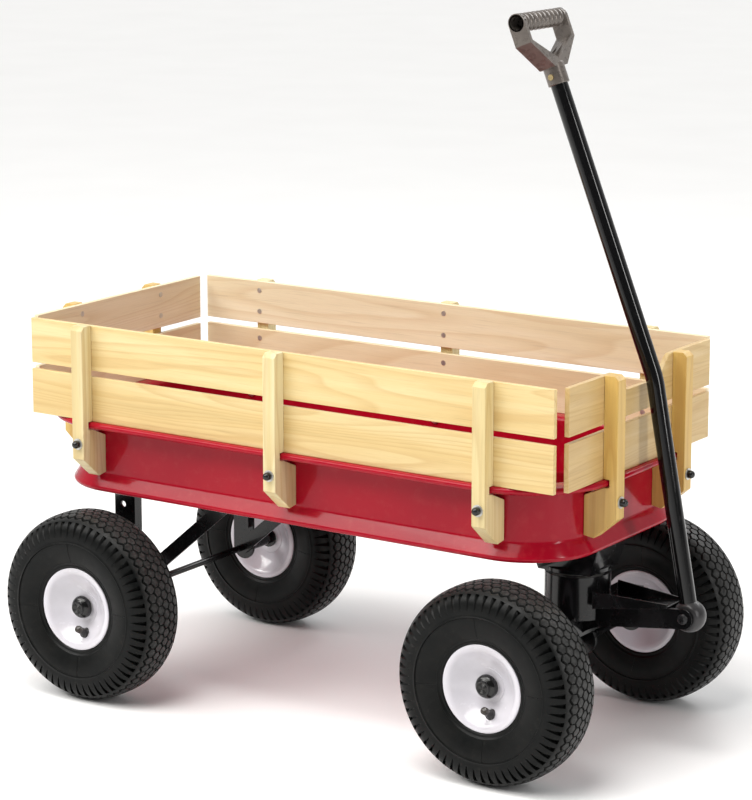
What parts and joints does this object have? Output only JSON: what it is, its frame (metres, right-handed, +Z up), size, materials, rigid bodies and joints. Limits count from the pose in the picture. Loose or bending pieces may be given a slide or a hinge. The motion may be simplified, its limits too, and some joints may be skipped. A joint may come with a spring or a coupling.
{
  "type": "pull wagon",
  "caption": "Pull wagon: a pressed steel bed with slatted wooden sides on pneumatic wheels, its front axle steered by a hinged pull handle with a D grip.",
  "frame": {"origin": "on the ground, under the middle of the whole object's box", "axes": "+X forward to the handle, +Y to the wagon's left, +Z up"},
  "size_m": [1.0104, 0.535, 0.9863],
  "materials": {
    "red_paint": "gloss red enamel on pressed steel",
    "wood": "clear-varnished pale softwood",
    "black_paint": "gloss black enamel",
    "white_paint": "gloss white enamel",
    "zinc": "bright zinc plate",
    "tyre_rubber": "matte black rubber",
    "stem_rubber": "satin black rubber",
    "black_plastic": "satin black plastic",
    "grip_plastic": "satin moulded dark grey plastic"
  },
  "bodies": {
    "wagon": {"tray": "red_paint", "slat_screws": "zinc", "stake_bolts": "zinc", "stake_washers": "zinc", "stake_cap_nuts": "black_plastic", "rear_bracket_right": "black_paint", "rear_bracket_left": "black_paint", "rear_braces": "black_paint", "rear_axle": "black_paint", "rear_axle_spacers": "black_paint", "rear_axle_washers": "zinc", "rear_axle_caps": "black_plastic", "chassis_bolts": "zinc", "chassis_nuts": "zinc", "front_bolster": "black_paint", "kingpin": "zinc", "kingpin_nut": "zinc", "thrust_washer": "zinc", "right_upper_slat": "wood", "right_lower_slat": "wood", "left_upper_slat": "wood", "left_lower_slat": "wood", "front_upper_slat": "wood", "front_lower_slat": "wood", "rear_upper_slat": "wood", "rear_lower_slat": "wood", "right_stakes": "wood", "left_stakes": "wood", "front_stakes": "wood", "rear_stakes": "wood"},
    "steering": {"steering_yoke": "black_paint", "front_axle": "black_paint", "front_axle_spacers": "black_paint", "front_axle_washers": "zinc", "front_axle_caps": "black_plastic", "tongue_straps": "black_paint", "tongue_channel": "black_paint", "pivot_bolt": "zinc", "pivot_nut": "zinc"},
    "handle": {"pull_ball": "black_plastic", "handle_tube": "black_paint", "grip": "grip_plastic", "grip_screw": "zinc"},
    "rear_right_wheel": {"rear_right_tyre": "tyre_rubber", "rear_right_rim": "white_paint", "rear_right_bearings": "zinc", "rear_right_valve_stem": "stem_rubber"},
    "rear_left_wheel": {"rear_left_tyre": "tyre_rubber", "rear_left_rim": "white_paint", "rear_left_bearings": "zinc", "rear_left_valve_stem": "stem_rubber"},
    "front_right_wheel": {"front_right_tyre": "tyre_rubber", "front_right_rim": "white_paint", "front_right_bearings": "zinc", "front_right_valve_stem": "stem_rubber"},
    "front_left_wheel": {"front_left_tyre": "tyre_rubber", "front_left_rim": "white_paint", "front_left_bearings": "zinc", "front_left_valve_stem": "stem_rubber"}
  },
  "joints": [
    {"name": "steer", "type": "hinge", "parent": "wagon", "child": "steering", "pos_m": [0.31225, 0, 0.2], "axis": [0, 0, 1], "range_deg": [-20, 20]},
    {"name": "handle_tip", "type": "hinge", "parent": "steering", "child": "handle", "pos_m": [0.48325, 0, 0.201], "axis": [0, 1, 0], "range_deg": [0, 115]},
    {"name": "rear_right_spin", "type": "hinge", "parent": "wagon", "child": "rear_right_wheel", "pos_m": [-0.35175, -0.2225, 0.135], "axis": [0, 1, 0], "continuous": true},
    {"name": "rear_left_spin", "type": "hinge", "parent": "wagon", "child": "rear_left_wheel", "pos_m": [-0.35175, 0.2225, 0.135], "axis": [0, 1, 0], "continuous": true},
    {"name": "front_right_spin", "type": "hinge", "parent": "steering", "child": "front_right_wheel", "pos_m": [0.31225, -0.21, 0.135], "axis": [0, 1, 0], "continuous": true},
    {"name": "front_left_spin", "type": "hinge", "parent": "steering", "child": "front_left_wheel", "pos_m": [0.31225, 0.21, 0.135], "axis": [0, 1, 0], "continuous": true}
  ]
}
